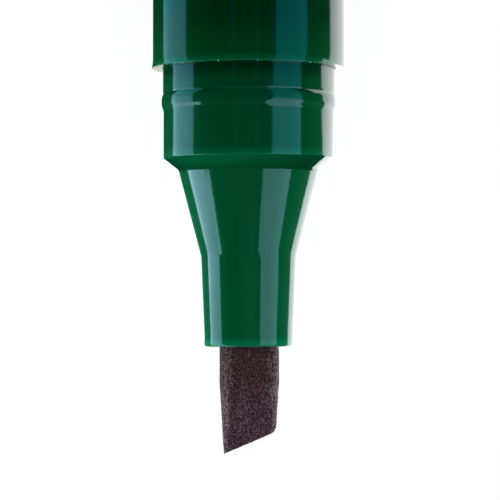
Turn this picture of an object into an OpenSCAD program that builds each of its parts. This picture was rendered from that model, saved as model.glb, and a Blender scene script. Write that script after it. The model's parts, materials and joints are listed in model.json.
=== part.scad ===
// Permanent marker with a chisel nib, lying on its side with its cap posted on the tail.
// The marker lies along Y, nib towards -Y. The origin is on its axis, at the barrel's front rim.
// All sizes are in millimetres. Inside the modules the marker is built along Z, then laid down.

/* [Barrel] */
// Outside diameter of the barrel and of the cap
barrel_d = 16.5; // [16:0.1:20]
// Length of the barrel from rim to rim
barrel_len = 84; // [60:1:110]
// Wall of the barrel between its two sockets
barrel_wall = 1.25; // [1:0.05:1.5]
// How far the thin lip of the front rim flares out
rim_flare = 0.12; // [0.02:0.01:0.2]
// Length of the flared lip
rim_flare_len = 0.5; // [0.2:0.1:1.5]
// Small chamfer on the rear rim and on the tail
edge_break = 0.25; // [0.1:0.05:0.4]
// Number of ribs that centre the reservoir in the barrel
barrel_ribs = 6; // [3:1:12]
// Width of one centring rib
barrel_rib_w = 0.7; // [0.4:0.1:1.5]
// Distance from the sockets to the centring ribs
barrel_rib_inset = 1; // [0:0.5:10]

/* [Front section] */
// Length of the straight collar, from the barrel rim to the shoulder
collar_len = 7.7; // [6.5:0.1:12]
// How much smaller the collar is than the neck behind the snap bead, on the radius
collar_step = 0.07; // [0.02:0.01:0.2]
// Length of the bevelled shoulder
shoulder_len = 1; // [0.5:0.1:2]
// How far the shoulder steps in from the collar to the cone, on the radius
shoulder_in = 1.28; // [0.8:0.02:1.6]
// Length of the cone
cone_len = 7.4; // [5:0.1:12]
// Diameter where the cone meets the nozzle
nozzle_root_d = 8.2; // [8:0.1:9.5]
// Diameter of the nozzle at its mouth
nozzle_tip_d = 7.55; // [7:0.05:8.1]
// Length of the nozzle
nozzle_len = 7.7; // [5:0.1:12]
// Radius of the nozzle's rounded mouth
nozzle_round = 0.35; // [0.1:0.05:0.6]
// Wall of the cone
section_wall = 1.2; // [0.9:0.05:1.3]
// How far the nib's seat runs back from the nozzle into the cone
seat_extra = 0.8; // [0.4:0.1:2]
// Length of the spigots that plug the section and the tail into the barrel
spigot_len = 10; // [6:0.5:14]
// Width of the two vent grooves beside the nib
vent_w = 0.7; // [0.4:0.1:1]
// Depth of the vent grooves
vent_depth = 0.4; // [0.2:0.05:0.6]
// Number of ribs that stop the reservoir
stop_ribs = 4; // [3:1:8]
// Thickness of one stop rib
stop_rib_w = 0.8; // [0.5:0.1:1.5]
// Height of the stop ribs
stop_rib_len = 2; // [1:0.1:3]
// How far the stop ribs reach in from the skirt's wall
stop_rib_reach = 2.2; // [1.5:0.1:3]
// Thickness of the floor between the skirt and the shoulder
skirt_floor = 1.2; // [0.8:0.1:2]

/* [Snap bead] */
// How far the bead stands above the neck
bead_rise = 0.1; // [0.05:0.01:0.2]
// Distance from the rim to the crest of the bead
bead_at = 3; // [2.6:0.1:5]
// Length of the bead's gentle ramp on the barrel side of its crest
bead_ramp = 0.8; // [0.4:0.1:1.2]
// Length of the bead's steep fall on the other side
bead_fall = 0.5; // [0.2:0.1:1]
// Width of the groove behind the bead
groove_len = 0.3; // [0.1:0.05:0.5]
// Depth of the groove behind the bead
groove_depth = 0.13; // [0.05:0.01:0.2]
// Height of the ridges that lock the spigots in the barrel
ridge_rise = 0.1; // [0.05:0.01:0.2]
// Width of the locking ridges
ridge_len = 1; // [0.5:0.1:2]

/* [Nib] */
// Width of the nib across its broad face
nib_w = 5.1; // [4:0.1:5.4]
// Thickness of the nib's shank
nib_t = 3.7; // [3:0.1:4]
// Corner radius of the nib's shank
nib_corner = 1.2; // [0.4:0.1:1.4]
// Length of nib that shows, from the nozzle to the tip
nib_reach = 9.2; // [6.5:0.1:12]
// Slant of the writing edge
nib_slant = 23.5; // [10:0.5:40]
// Radius of the worn heel corner
nib_heel_round = 0.75; // [0.3:0.05:1.2]
// Length over which the nib's sides draw in towards the tip
nib_taper_len = 6.3; // [4:0.1:6.4]
// Angle at which the sides draw in
nib_taper = 3.3; // [0:0.1:6]
// Length of the wedge that thins the nib towards the edge
nib_wedge_len = 6; // [3:0.1:6.4]
// Thickness of the nib at the writing edge
nib_edge_t = 1.7; // [1:0.1:2.8]
// How far the nib runs into the reservoir
nib_dip = 5; // [3:0.5:10]
// Length of the pointed rear end of the nib
nib_point_len = 4; // [2:0.5:6]
// How far the rear point draws in on each side
nib_point_in = 1.1; // [0.4:0.1:1.4]

/* [Reservoir] */
// Wall of the two spigots, which leaves room for the reservoir inside them
spigot_wall = 0.85; // [0.7:0.05:1.6]
// Thickness of the film around the reservoir
wrap_t = 0.15; // [0.1:0.05:0.2]

/* [Tail plug] */
// Gap between the posted tail and the inner cap
tail_clear = 1; // [0.5:0.1:3]
// Thickness of the tail's end wall
tail_end = 1.2; // [0.8:0.1:2.5]
// Height of the ribs behind the reservoir
tail_rib_len = 4; // [2:0.5:6]
// Thickness of the ribs behind the reservoir
tail_rib_w = 1; // [0.6:0.1:2]
// Play between the reservoir and those ribs
reservoir_play = 0.3; // [0.1:0.1:1]
// Radius of the moulding dimple in the tail's end
gate_r = 1.4; // [0.8:0.1:3]
// Depth of the moulding dimple
gate_depth = 0.25; // [0.1:0.05:0.5]

/* [Cap] */
// Wall of the cap at its mouth
cap_wall = 0.71; // [0.5:0.01:0.9]
// Wall of the cap beyond the mouth
cap_body_wall = 1.3; // [1:0.05:1.5]
// Length over which the cap's bore steps in
cap_step_len = 1; // [0.5:0.1:2]
// Thickness of the crown
crown_t = 1.5; // [1.2:0.1:3]
// Radius of the crown's outer edge
crown_round = 1; // [0.3:0.1:1.2]
// Number of grip flutes round the cap
flutes = 32; // [12:2:36]
// Radius of the cutter that makes a flute
flute_r = 0.6; // [0.4:0.05:0.8]
// Depth of a flute
flute_depth = 0.2; // [0.05:0.05:0.3]
// Distance from the mouth to the flutes
flute_from = 2.4; // [1:0.1:6]
// Length of the flutes
flute_len = 9; // [4:0.5:12]
// Number of air slots in the crown
air_slots = 3; // [2:1:5]
// Width of an air slot
air_slot_w = 1.5; // [0.8:0.1:1.8]
// Angle that an air slot spans
air_slot_span = 64; // [20:2:66]
// Mean radius of the air slots
air_slot_at = 4.6; // [4.5:0.1:5]

/* [Clip] */
// Length of the clip
clip_len = 27; // [16:0.5:34]
// Width of the clip
clip_w = 4.8; // [3:0.1:7]
// Thickness of the clip
clip_t = 1.5; // [1:0.1:2.5]
// Gap between the clip and the cap
clip_gap = 1.4; // [0.8:0.1:2.5]
// Length of the clip's root
clip_root = 5; // [3:0.5:8]
// Distance from the crown to the clip
clip_inset = 1.4; // [1.2:0.1:4]
// How far the clip's root is sunk into the cap's wall
clip_sink = 0.6; // [0.3:0.1:0.9]
// Radius of the grip bump under the clip's free end
clip_bump = 0.9; // [0.5:0.1:1.2]

/* [Inner cap] */
// How far down the cone the inner cap's mouth seals when the cap is on the nib
liner_seat = 3.3; // [2:0.1:4.5]
// Wall of the inner cap
liner_wall = 0.8; // [0.5:0.05:1]
// End wall of the inner cap
liner_end = 1; // [0.6:0.1:2]
// Room between the nib's tip and the inner cap's end
nib_room = 2.2; // [1:0.1:5]
// Air space between the inner cap and the crown
air_space = 1.2; // [0.6:0.1:3]
// Diameter of the stub that fixes the inner cap in the crown
stub_d = 4.8; // [3:0.1:5.2]
// Wall of the crown's socket for that stub
stub_socket_wall = 0.9; // [0.5:0.1:1]
// How far the stub is let into the crown
stub_sink = 0.7; // [0.3:0.1:0.9]
// Number of ribs that hold the inner cap in the cap
liner_ribs = 6; // [3:1:10]
// Width of one holding rib
liner_rib_w = 0.8; // [0.5:0.1:1.5]
// Distance from the inner cap's mouth to the ribs
liner_rib_from = 2; // [1:0.5:6]

/* [Fits] */
// Gap per side between pieces that are pressed together
fit_gap = 0.02; // [0.01:0.01:0.05]
// Gap per side between pieces that only slide together
slip_gap = 0.08; // [0.05:0.01:0.12]
// Gap per side between the snap bead and the cap
cap_clear = 0.04; // [0.01:0.01:0.1]
// Gap between the posted cap's mouth and the barrel
cap_stop_gap = 0.1; // [0.05:0.05:0.5]

/* [Hidden] */
$fn = 96;
// How far a cutter runs past the face it cuts, and a rib sinks into its wall.
over = 1;
weld = 0.1;

// Radii, from the barrel inwards.
barrel_r = barrel_d / 2;
cap_bore_r = barrel_r - cap_wall;
bead_r = cap_bore_r - cap_clear;
neck_r = bead_r - bead_rise;
collar_r = neck_r - collar_step;
groove_r = neck_r - groove_depth;
socket_r = neck_r + fit_gap;
bore_r = barrel_r - barrel_wall;
skirt_r = neck_r - spigot_wall;
wrap_r = skirt_r - slip_gap;
wrap_in_r = wrap_r - wrap_t;
reservoir_r = wrap_in_r - fit_gap;
cone_r = collar_r - shoulder_in;
cap_body_r = barrel_r - cap_body_wall;

// Stations along the axis: the front rim is 0, the nib is negative and the tail is positive.
shoulder_z = -collar_len;
cone_z = shoulder_z - shoulder_len;
root_z = cone_z - cone_len;
mouth_z = root_z - nozzle_len;
tip_z = mouth_z - nib_reach;
seat_z = root_z + seat_extra;
skirt_z = shoulder_z + skirt_floor;
reservoir_front_z = skirt_z + stop_rib_len;
nib_back_z = reservoir_front_z + nib_dip;
cone_slope = (cone_r - nozzle_root_d / 2) / cone_len;

// The inner cap's bore is as wide as the cone where its mouth seals, with a gap.
liner_bore_r = cone_r - cone_slope * liner_seat + fit_gap;
liner_r = liner_bore_r + liner_wall;
liner_mouth = liner_seat - cone_z;
tail_len = liner_mouth - tail_clear;
tail_z = barrel_len + tail_len;
reservoir_back_z = tail_z - tail_end - tail_rib_len - reservoir_play;

// Depths inside the cap, from its mouth.
liner_floor = nib_room - tip_z;
liner_back = liner_floor + liner_end;
crown_floor = liner_back + air_space;
cap_len = crown_floor + crown_t;
cap_step = tail_len + cap_stop_gap;
cap_z = barrel_len + cap_stop_gap;

// The clip stops the marker rolling: its lower corner lies level with the barrel's underside.
clip_in = barrel_r + clip_gap;
clip_out = clip_in + clip_t;
clip_turn = asin(barrel_r / norm([clip_out, clip_w / 2])) - atan2(clip_w / 2, clip_out);

plastic_green = [0, 0.31, 0.18];
felt_black = [0.22, 0.17, 0.18];
fibre_green = [0.02, 0.24, 0.16];
film_clear = [0.80, 0.87, 0.84];
liner_white = [0.90, 0.91, 0.88];

// Points of a round stretch: centre, radius, start and end angle, and number of steps.
function arc(x, y, r, a, b, steps = 6) =
    [for (i = [0 : steps]) let (t = a + (b - a) * i / steps) [x + r * cos(t), y + r * sin(t)]];

// Lays a piece that was built along Z down along Y, with its own -Y side up.
module lay_down() {
    rotate([-90, 0, 0]) children();
}

// A ring of copies round Z.
module ring_of(count, start = 0) {
    for (i = [0 : count - 1]) rotate(start + 360 * i / count) children();
}

// A radial rib that stands between two radii, from one station to another.
module rib(inner, outer, low, high, width) {
    translate([inner, -width / 2, low]) cube([outer - inner, width, high - low]);
}

// Outline of the snap bead and of the groove behind it, where rim is the barrel's rim and dir
// points away from the barrel. The front face of the bead falls to the given radius.
function bead_outline(rim, dir, front_r) = [
    [neck_r, rim + dir * (bead_at - bead_ramp - groove_len)],
    [groove_r, rim + dir * (bead_at - bead_ramp - groove_len / 2)],
    [neck_r, rim + dir * (bead_at - bead_ramp)],
    [(neck_r + 3 * bead_r) / 4, rim + dir * (bead_at - bead_ramp / 2)],
    [bead_r, rim + dir * (bead_at - bead_ramp / 8)],
    [bead_r, rim + dir * (bead_at + bead_fall / 4)],
    [(front_r + 2 * bead_r) / 3, rim + dir * (bead_at + bead_fall / 2)],
    [front_r, rim + dir * (bead_at + bead_fall)]
];

// Ridge on a spigot, or the wider groove that takes it, centred on one station.
module lock_ring(r, at, grow) {
    rotate_extrude()
        polygon([[r - weld, at - ridge_len / 2 - grow], [r, at - ridge_len / 2 - grow],
                 [r + ridge_rise + grow, at - ridge_len / 4 - grow],
                 [r + ridge_rise + grow, at + ridge_len / 4 + grow],
                 [r, at + ridge_len / 2 + grow], [r - weld, at + ridge_len / 2 + grow]]);
}

// Cross-section of the nib's shank, grown by a gap.
module nib_section(grow) {
    w = nib_w + 2 * grow;
    t = nib_t + 2 * grow;
    r = nib_corner + grow;
    square([w - 2 * r, t], center = true);
    square([w, t - 2 * r], center = true);
    for (x = [-1, 1], y = [-1, 1]) translate([x * (w / 2 - r), y * (t / 2 - r)]) circle(r);
}

// Outline of the nib's broad face: X across, Y along the marker.
module nib_face(grow) {
    half = nib_w / 2 + grow;
    tip_x = -half + nib_taper_len * tan(nib_taper);
    taper_z = tip_z + nib_taper_len;
    // The heel is where the slanted edge would meet the tapered side.
    rise = (half - nib_taper_len * tan(nib_taper) - tip_x)
           / (1 / tan(nib_slant) - tan(nib_taper));
    heel = [tip_x + rise / tan(nib_slant), tip_z + rise];
    inward = [-sin(nib_slant) - cos(nib_taper), cos(nib_slant) + sin(nib_taper)];
    centre = heel + nib_heel_round * inward / (1 + sin(nib_slant + nib_taper));
    polygon(concat(
        [[-half + nib_point_in, nib_back_z + grow], [-half, nib_back_z - nib_point_len],
         [-half, taper_z], [tip_x, tip_z]],
        arc(centre.x, centre.y, nib_heel_round, nib_slant - 90, -nib_taper, 8),
        [[half, taper_z], [half, nib_back_z - nib_point_len],
         [half - nib_point_in, nib_back_z + grow]]));
}

// Outline of the nib's narrow side: X is the thickness, Y runs along the marker.
module nib_side(grow) {
    half = nib_t / 2 + grow;
    edge = nib_edge_t / 2;
    wedge_z = tip_z + nib_wedge_len;
    polygon([[-edge, tip_z - over], [edge, tip_z - over], [edge, tip_z], [half, wedge_z],
             [half, nib_back_z - nib_point_len], [half - nib_point_in, nib_back_z + grow],
             [-half + nib_point_in, nib_back_z + grow], [-half, nib_back_z - nib_point_len],
             [-half, wedge_z], [-edge, tip_z]]);
}

// The nib, or with a gap the space that it takes up in another piece.
module nib_solid(grow = 0) {
    depth = 2 * nib_w;
    intersection() {
        translate([0, 0, tip_z - over]) linear_extrude(nib_back_z - tip_z + 2 * over)
            nib_section(grow);
        rotate([90, 0, 0]) linear_extrude(depth, center = true) nib_face(grow);
        rotate([90, 0, 90]) linear_extrude(depth, center = true) nib_side(grow);
    }
}

module barrel() {
    color(plastic_green) lay_down() {
        difference() {
            rotate_extrude() polygon([
                [socket_r, 0], [barrel_r + rim_flare, 0], [barrel_r, rim_flare_len],
                [barrel_r, barrel_len - edge_break], [barrel_r - edge_break, barrel_len],
                [socket_r, barrel_len], [socket_r, barrel_len - spigot_len],
                [bore_r, barrel_len - spigot_len], [bore_r, spigot_len], [socket_r, spigot_len]]);
            lock_ring(socket_r, spigot_len / 2, fit_gap);
            lock_ring(socket_r, barrel_len - spigot_len / 2, fit_gap);
        }
        ring_of(barrel_ribs)
            rib(wrap_r + slip_gap, bore_r + weld, spigot_len + barrel_rib_inset,
                barrel_len - spigot_len - barrel_rib_inset, barrel_rib_w);
    }
}

module front_section() {
    color(plastic_green) lay_down() {
        difference() {
            rotate_extrude() polygon(concat(
                [[0, spigot_len], [neck_r, spigot_len]],
                bead_outline(0, -1, collar_r),
                [[collar_r, shoulder_z], [cone_r, cone_z], [nozzle_root_d / 2, root_z],
                 [nozzle_tip_d / 2, mouth_z + nozzle_round]],
                arc(nozzle_tip_d / 2 - nozzle_round, mouth_z + nozzle_round, nozzle_round, 0, -90),
                [[0, mouth_z]]));
            rotate_extrude() polygon([
                [0, seat_z], [nozzle_root_d / 2 + cone_slope * seat_extra - section_wall, seat_z],
                [cone_r - section_wall, cone_z], [cone_r - section_wall, skirt_z],
                [skirt_r, skirt_z], [skirt_r, spigot_len + over], [0, spigot_len + over]]);
            translate([0, 0, mouth_z - over])
                linear_extrude(seat_z - mouth_z + 2 * over) nib_section(fit_gap);
            for (side = [-1, 1])
                translate([-vent_w / 2, side * nib_t / 2 - vent_depth, mouth_z - over])
                    cube([vent_w, 2 * vent_depth, seat_z - mouth_z + 2 * over]);
        }
        ring_of(stop_ribs, 45)
            rib(skirt_r - stop_rib_reach, skirt_r + weld, skirt_z - weld,
                reservoir_front_z, stop_rib_w);
        lock_ring(neck_r, spigot_len / 2, 0);
    }
}

module nib() {
    color(felt_black) lay_down() nib_solid();
}

module ink_reservoir() {
    color(fibre_green) lay_down() difference() {
        translate([0, 0, reservoir_front_z])
            cylinder(r = reservoir_r, h = reservoir_back_z - reservoir_front_z);
        nib_solid(fit_gap);
    }
}

module reservoir_wrap() {
    length = reservoir_back_z - reservoir_front_z;
    color(film_clear) lay_down() translate([0, 0, reservoir_front_z]) difference() {
        cylinder(r = wrap_r, h = length);
        translate([0, 0, -over]) cylinder(r = wrap_in_r, h = length + 2 * over);
    }
}

module tail_plug() {
    spigot_z = barrel_len - spigot_len;
    rib_z = tail_z - tail_end - tail_rib_len;
    color(plastic_green) lay_down() {
        difference() {
            rotate_extrude() polygon(concat(
                [[0, spigot_z], [neck_r, spigot_z]],
                bead_outline(barrel_len, 1, neck_r),
                [[neck_r, tail_z - edge_break], [neck_r - edge_break, tail_z], [0, tail_z]]));
            translate([0, 0, spigot_z - over])
                cylinder(r = skirt_r, h = tail_z - tail_end - spigot_z + over);
            translate([0, 0, tail_z - gate_depth]) cylinder(r = gate_r, h = gate_depth + over);
        }
        for (turn = [0, 90]) rotate(turn)
            translate([-skirt_r - weld, -tail_rib_w / 2, rib_z])
                cube([2 * (skirt_r + weld), tail_rib_w, tail_rib_len + weld]);
        lock_ring(neck_r, barrel_len - spigot_len / 2, 0);
    }
}

// Side view of the clip: X is the distance from the cap's axis, Y the distance from its mouth.
module clip_side() {
    back = cap_len - clip_inset;
    difference() {
        union() {
            translate([clip_in, back - clip_len]) square([clip_t, clip_len]);
            translate([barrel_r - clip_sink, back - clip_root])
                square([clip_out - barrel_r + clip_sink, clip_root]);
            translate([clip_in + clip_bump / 3, back - clip_len + 2 * clip_bump]) circle(clip_bump);
        }
        // The outer corners are bevelled at the root and drawn out thin at the free end.
        polygon([[clip_out + over, back - clip_root], [clip_out, back - clip_root / 2],
                 [clip_out - clip_t, back + over], [clip_out + over, back + over]]);
        polygon([[clip_out + over, back - clip_len - over],
                 [clip_out - clip_t / 2, back - clip_len - over],
                 [clip_out - clip_t / 2, back - clip_len],
                 [clip_out, back - clip_len + 3 * clip_t],
                 [clip_out + over, back - clip_len + 3 * clip_t]]);
    }
}

// Plan of the clip: X is its width, Y the distance from the cap's mouth.
module clip_plan() {
    back = cap_len - clip_inset;
    translate([-clip_w / 2, back - clip_len + clip_w / 2]) square([clip_w, clip_len]);
    translate([0, back - clip_len + clip_w / 2]) circle(clip_w / 2);
}

module clip() {
    intersection() {
        rotate([90, 0, 0]) linear_extrude(clip_w + over, center = true) clip_side();
        rotate([90, 0, 90]) linear_extrude(clip_out + over) clip_plan();
    }
}

module cap_shell() {
    socket_out = stub_d / 2 + stub_socket_wall;
    color(plastic_green) lay_down() translate([0, 0, cap_z]) {
        difference() {
            rotate_extrude() polygon(concat(
                [[0, 0], [barrel_r - edge_break, 0], [barrel_r, edge_break]],
                arc(barrel_r - crown_round, cap_len - crown_round, crown_round, 0, 90),
                [[0, cap_len]]));
            rotate_extrude() polygon([
                [0, -over], [cap_bore_r, -over], [cap_bore_r, cap_step],
                [cap_body_r, cap_step + cap_step_len], [cap_body_r, crown_floor], [0, crown_floor]]);
            translate([0, 0, crown_floor - over])
                cylinder(r = stub_d / 2 + fit_gap, h = over + stub_sink + fit_gap);
            ring_of(air_slots)
                rotate_extrude(angle = air_slot_span)
                    translate([air_slot_at - air_slot_w / 2, crown_floor - over])
                        square([air_slot_w, crown_t + 2 * over]);
            ring_of(flutes)
                translate([barrel_r + flute_r - flute_depth, 0, flute_from])
                    cylinder(r = flute_r, h = flute_len);
        }
        ring_of(liner_ribs, 180 / liner_ribs)
            rib(liner_r + fit_gap, cap_body_r + weld, liner_mouth + liner_rib_from,
                crown_floor + weld, liner_rib_w);
        difference() {
            translate([0, 0, liner_back]) cylinder(r = socket_out, h = air_space + weld);
            translate([0, 0, liner_back - over])
                cylinder(r = stub_d / 2 + fit_gap, h = air_space + weld + 2 * over);
        }
        rotate(clip_turn) clip();
    }
}

module inner_cap() {
    color(liner_white) lay_down() translate([0, 0, cap_z]) {
        rotate_extrude() polygon([
            [liner_bore_r, liner_mouth], [liner_r, liner_mouth], [liner_r, liner_back],
            [stub_d / 2, liner_back], [stub_d / 2, crown_floor + stub_sink],
            [0, crown_floor + stub_sink], [0, liner_floor], [liner_bore_r, liner_floor]]);
    }
}

barrel();
front_section();
nib();
ink_reservoir();
reservoir_wrap();
tail_plug();
cap_shell();
inner_cap();
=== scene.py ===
"""Looks of a permanent marker: a glossy green barrel and nose, a chisel felt nib and a posted clip cap.

The marker lies along Y with its nib towards -Y, and Z is up. Sizes are in millimetres until a mesh
is made, and meshes are in metres.
"""

import json
import math

import bmesh
import bpy
from mathutils import Matrix, Vector, noise


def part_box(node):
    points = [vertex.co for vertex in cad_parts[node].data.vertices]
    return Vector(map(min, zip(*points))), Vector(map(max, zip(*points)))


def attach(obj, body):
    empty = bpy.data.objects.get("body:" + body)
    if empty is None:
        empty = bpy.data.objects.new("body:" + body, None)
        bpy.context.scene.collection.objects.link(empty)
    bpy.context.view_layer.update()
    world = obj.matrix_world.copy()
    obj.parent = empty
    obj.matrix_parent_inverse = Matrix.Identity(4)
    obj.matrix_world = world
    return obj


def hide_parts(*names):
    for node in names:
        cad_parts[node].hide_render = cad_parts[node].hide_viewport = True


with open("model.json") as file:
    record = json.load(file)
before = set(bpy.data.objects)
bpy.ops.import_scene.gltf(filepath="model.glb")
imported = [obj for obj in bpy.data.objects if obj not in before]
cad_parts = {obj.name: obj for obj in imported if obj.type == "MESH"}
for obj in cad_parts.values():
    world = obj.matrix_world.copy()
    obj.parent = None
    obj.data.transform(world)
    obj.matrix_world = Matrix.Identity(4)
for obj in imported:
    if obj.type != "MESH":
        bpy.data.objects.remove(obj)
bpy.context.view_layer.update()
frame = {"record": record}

MM = 0.001


def node_box(node):
    """Lowest and highest corner of a CAD node, in millimetres."""
    low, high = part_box(node)
    return Vector(low) / MM, Vector(high) / MM


# Sizes from the frame.
mount_sizes = {mount["name"]: mount["dims"] for mount in frame["record"]["mounts"]}
barrel_low, barrel_high = node_box("barrel")
nose_low, nose_high = node_box("front_section")
nib_low, nib_high = node_box("nib")
rod_low, rod_high = node_box("ink_reservoir")
cap_low, cap_high = node_box("cap_shell")
liner_low, liner_high = node_box("inner_cap")
barrel_r = mount_sizes["barrel"]["r_mm"]
collar_r = mount_sizes["cap_neck"]["r_mm"]
rim_r = barrel_high.x
barrel_y = barrel_high.y
floor_z = barrel_low.z
mouth_y = nose_low.y
spigot_y = nose_high.y
tip_y = nib_low.y
nib_len = nib_high.y - tip_y
nib_half_w = nib_high.x
nib_half_t = nib_high.z
rod_y = rod_low.y
rod_back_y = rod_high.y
rod_r = rod_high.x
film_r = node_box("reservoir_wrap")[1].x
tail_y = node_box("tail_plug")[1].y
cap_y = cap_low.y
crown_y = cap_high.y
liner_y = liner_low.y
stub_y = liner_high.y
liner_r = liner_high.x

# Gaps and roundings.
weld_gap = 0.0005
fit_gap = 0.02
inner_break = 0.05
mouth_break = 0.08
corner_break = 0.1
wall_break = 0.2
edge_break = 0.25

# Barrel, with its front edge at Y = 0.
lip_len = 0.95
lip_r = rim_r - 0.01
lip_curve = 2.2
lip_round = 0.045
lip_glow = 0.75
shade_level = 0.72
shade_from = 0.6
shade_full = 4.2
shade_end = spigot_y + 6.0
neck_r = collar_r + 0.07
socket_r = neck_r + fit_gap
bore_r = barrel_r - 1.25

# Nose.
skirt_r = neck_r - 0.85
neck_inset = 0.5
groove_r = neck_r - 0.035
groove_at = 2.2
groove_lead = 0.12
bead_r = neck_r + 0.1
bead_at = 2.7
bead_flat = 0.38
bead_fall = 0.72
shoulder_y = -7.7
shoulder_round = 0.07
cone_y = shoulder_y - 1.0
cone_r = collar_r - 1.28
nozzle_y = cone_y - 7.4
nozzle_root_r = 4.1
nozzle_r = 3.83
nozzle_waist_r = 3.81
nozzle_waist = 0.9
nozzle_round = 0.2
bend_round = 3.0
section_wall = 1.2
seat_y = nozzle_y + 0.8
seat_r = nozzle_root_r + 0.3 - section_wall
skirt_y = shoulder_y + 1.2
nib_gap = 0.03
hole_r = nib_half_w + nib_gap
hole_break = 0.06
hole_squareness = 3.9
vent_w = 0.7
vent_depth = 0.4

# Nib, with heights above its tip.
nib_corner = 1.2
nib_edge_corner = 0.4
nib_cut_corner = 0.12
nib_edge_half_t = 0.85
nib_slant = math.radians(23.5)
nib_taper = math.radians(3.3)
nib_taper_len = 6.3
nib_wedge_len = 6.0
nib_heel_round = 0.75
nib_back_len = 4.0
nib_back_bevel = 1.1

# Tail.
tail_end = 1.2
gate_r = 1.4
gate_depth = 0.25
pip_root_r = 0.6
pip_r = 0.45
pip_depth = 0.06

# Cap.
cap_bore_r = barrel_r - 0.71
cap_body_r = barrel_r - 1.3
cap_mouth_break = 0.15
cap_step_y = tail_y + 0.2
cap_step_len = 1.0
crown_floor_y = crown_y - 1.5
crown_round = 1.0
flutes = 32
flute_r = 0.6
flute_depth = 0.2
flute_y = cap_y + 2.4
flute_end_y = flute_y + 9.0
flute_run = 0.3
liner_bore_r = liner_r - 0.8
liner_back_y = crown_floor_y - 1.2
liner_floor_y = liner_back_y - 1.0
stub_r = 2.4
stub_wall = 0.9
cap_ribs = 6
rib_w = 0.8
rib_y = liner_y + 2.0

# Clip.
clip_in = barrel_r + 1.4
clip_t = 1.5
clip_half_w = 2.4
clip_tip_half_w = 0.02
clip_round = 0.28
clip_back_y = crown_y - 1.4
clip_len = 27.0
clip_root = 5.0
clip_fillet = 0.6
clip_sink = 0.6
clip_bump = 0.9


# Node trees

def math_step(operation, flipped=False):
    """Method that adds a math node for a value, or for a value and another one."""
    def method(self, other=0.0):
        pair = (other, self) if flipped else (self, other)
        return self.nodes.math(operation, *pair)
    return method


class Value:
    """Output of a node, which can be reckoned with like a number. A comparison gives 1 or 0."""

    def __init__(self, nodes, socket):
        self.nodes = nodes
        self.socket = socket

    __add__ = math_step("ADD")
    __sub__ = math_step("SUBTRACT")
    __rsub__ = math_step("SUBTRACT", flipped=True)
    __mul__ = math_step("MULTIPLY")
    __truediv__ = math_step("DIVIDE")
    __rtruediv__ = math_step("DIVIDE", flipped=True)
    __pow__ = math_step("POWER")
    __lt__ = math_step("LESS_THAN")
    __gt__ = math_step("GREATER_THAN")
    __abs__ = math_step("ABSOLUTE")
    greater = math_step("MAXIMUM")
    root = math_step("SQRT")
    floor = math_step("FLOOR")
    fraction = math_step("FRACT")
    sine = math_step("SINE")
    cosine = math_step("COSINE")

    def ramp(self, low, high, start=0.0, end=1.0):
        """Runs smoothly from start to end while the value runs from low to high."""
        return self.nodes.out("ShaderNodeMapRange", {0: self, 1: low, 2: high, 3: start, 4: end},
                              interpolation_type="SMOOTHSTEP")

    def ramp_mm(self, low, high, start=0.0, end=1.0):
        """Ramp along a coordinate, between two places in millimetres."""
        return self.ramp(low * MM, high * MM, start, end)

    def parts(self):
        """X, Y and Z of a vector."""
        return list(self.nodes.outs("ShaderNodeSeparateXYZ", {0: self}).values())


class Nodes:
    """Adds nodes to a tree. An input takes the output of another node, or a plain number or colour."""

    def __init__(self, tree):
        self.tree = tree

    def fill(self, node, inputs):
        for key, value in inputs.items():
            if isinstance(value, Value):
                self.tree.links.new(value.socket, node.inputs[key])
            else:
                node.inputs[key].default_value = value

    def add(self, kind, inputs=None, **settings):
        node = self.tree.nodes.new(kind)
        for name, value in settings.items():
            setattr(node, name, value)
        self.fill(node, inputs or {})
        return node

    def out(self, kind, inputs=None, output=0, **settings):
        """Adds a node and gives one of its outputs."""
        return Value(self, self.add(kind, inputs, **settings).outputs[output])

    def outs(self, kind, inputs=None):
        """Adds a node and gives its outputs by their names."""
        return {socket.name: Value(self, socket) for socket in self.add(kind, inputs).outputs}

    def math(self, operation, a, b):
        return self.out("ShaderNodeMath", {0: a, 1: b}, operation=operation)

    def vector_math(self, operation, inputs, output=0):
        return self.out("ShaderNodeVectorMath", inputs, output, operation=operation)

    def blend(self, factor, a, b, blend_type="MIX"):
        """Mixes two colours."""
        return self.out("ShaderNodeMix", {0: factor, 6: a, 7: b}, output=2, data_type="RGBA",
                        blend_type=blend_type)

    def join(self, x, y, z):
        return self.out("ShaderNodeCombineXYZ", {0: x, 1: y, 2: z})

    def named(self, name):
        """Number that a mesh carries on its points, by its name."""
        return self.out("GeometryNodeInputNamedAttribute", {"Name": name}, data_type="FLOAT")

    def stored(self, shape, name, value, domain):
        """Shape that carries a number by a name."""
        inputs = {"Geometry": shape, "Name": name, "Value": value}
        return self.out("GeometryNodeStoreNamedAttribute", inputs, data_type="FLOAT", domain=domain)

    def random(self, low, high, seed):
        return self.out("FunctionNodeRandomValue", {2: low, 3: high, "Seed": seed}, output=1,
                        data_type="FLOAT")

    def random_vector(self, low, high, seed):
        return self.out("FunctionNodeRandomValue", {0: low, 1: high, "Seed": seed},
                        data_type="FLOAT_VECTOR")

    def moved(self, shape, spot):
        """Shape with its points moved to the given spots."""
        return self.out("GeometryNodeSetPosition", {"Geometry": shape, "Position": spot})

    def placed(self, points, shape, turn, size=(1, 1, 1)):
        """Turned copy of a shape on each point."""
        return self.out("GeometryNodeInstanceOnPoints", {"Points": points, "Instance": shape,
                                                         "Rotation": turn, "Scale": size})


# Materials

def new_material(name):
    """Material with its nodes and the place on the piece that they colour."""
    material = bpy.data.materials.new(name)
    material.use_nodes = True
    nodes = Nodes(material.node_tree)
    return material, nodes, nodes.out("ShaderNodeTexCoord", output="Object")


def dressed(material, nodes, inputs):
    nodes.fill(material.node_tree.nodes["Principled BSDF"], inputs)
    return material


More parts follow.
